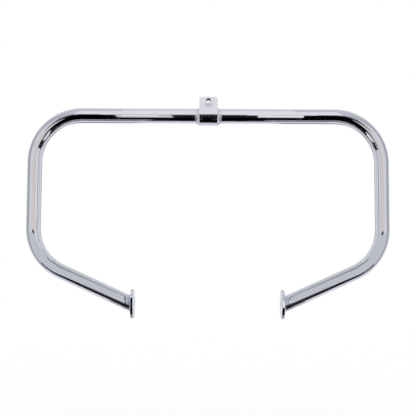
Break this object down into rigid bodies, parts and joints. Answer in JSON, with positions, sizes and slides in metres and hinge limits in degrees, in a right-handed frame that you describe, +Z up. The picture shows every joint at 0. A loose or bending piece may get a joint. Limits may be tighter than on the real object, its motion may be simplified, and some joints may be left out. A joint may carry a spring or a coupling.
{
  "type": "motorcycle crash bars",
  "caption": "Chrome-plated tubular engine guard: one bent steel loop with a bolt tab on its top bar and an oblong bolt plate on each lower arm.",
  "frame": {"origin": "centre of the bracket tab's bolt hole, on the tab's rear face", "axes": "+X across the motorcycle, +Y away from the side with the weld nut, +Z up"},
  "size_m": [0.786, 0.0899, 0.4782],
  "materials": {
    "plated_tube": "polished chrome plate on steel tube",
    "plated_plate": "polished chrome plate on flat steel",
    "plated_nut": "chrome plate on a steel nut",
    "plated_weld": "chrome plate on a smoothed weld bead"
  },
  "bodies": {
    "root": {"main_tube": "plated_tube", "top_bracket": "plated_plate", "tab_nut": "plated_nut", "left_bracket_weld": "plated_weld", "right_bracket_weld": "plated_weld", "left_end_plate": "plated_plate", "right_end_plate": "plated_plate", "left_plate_weld": "plated_weld", "right_plate_weld": "plated_weld"}
  },
  "joints": []
}
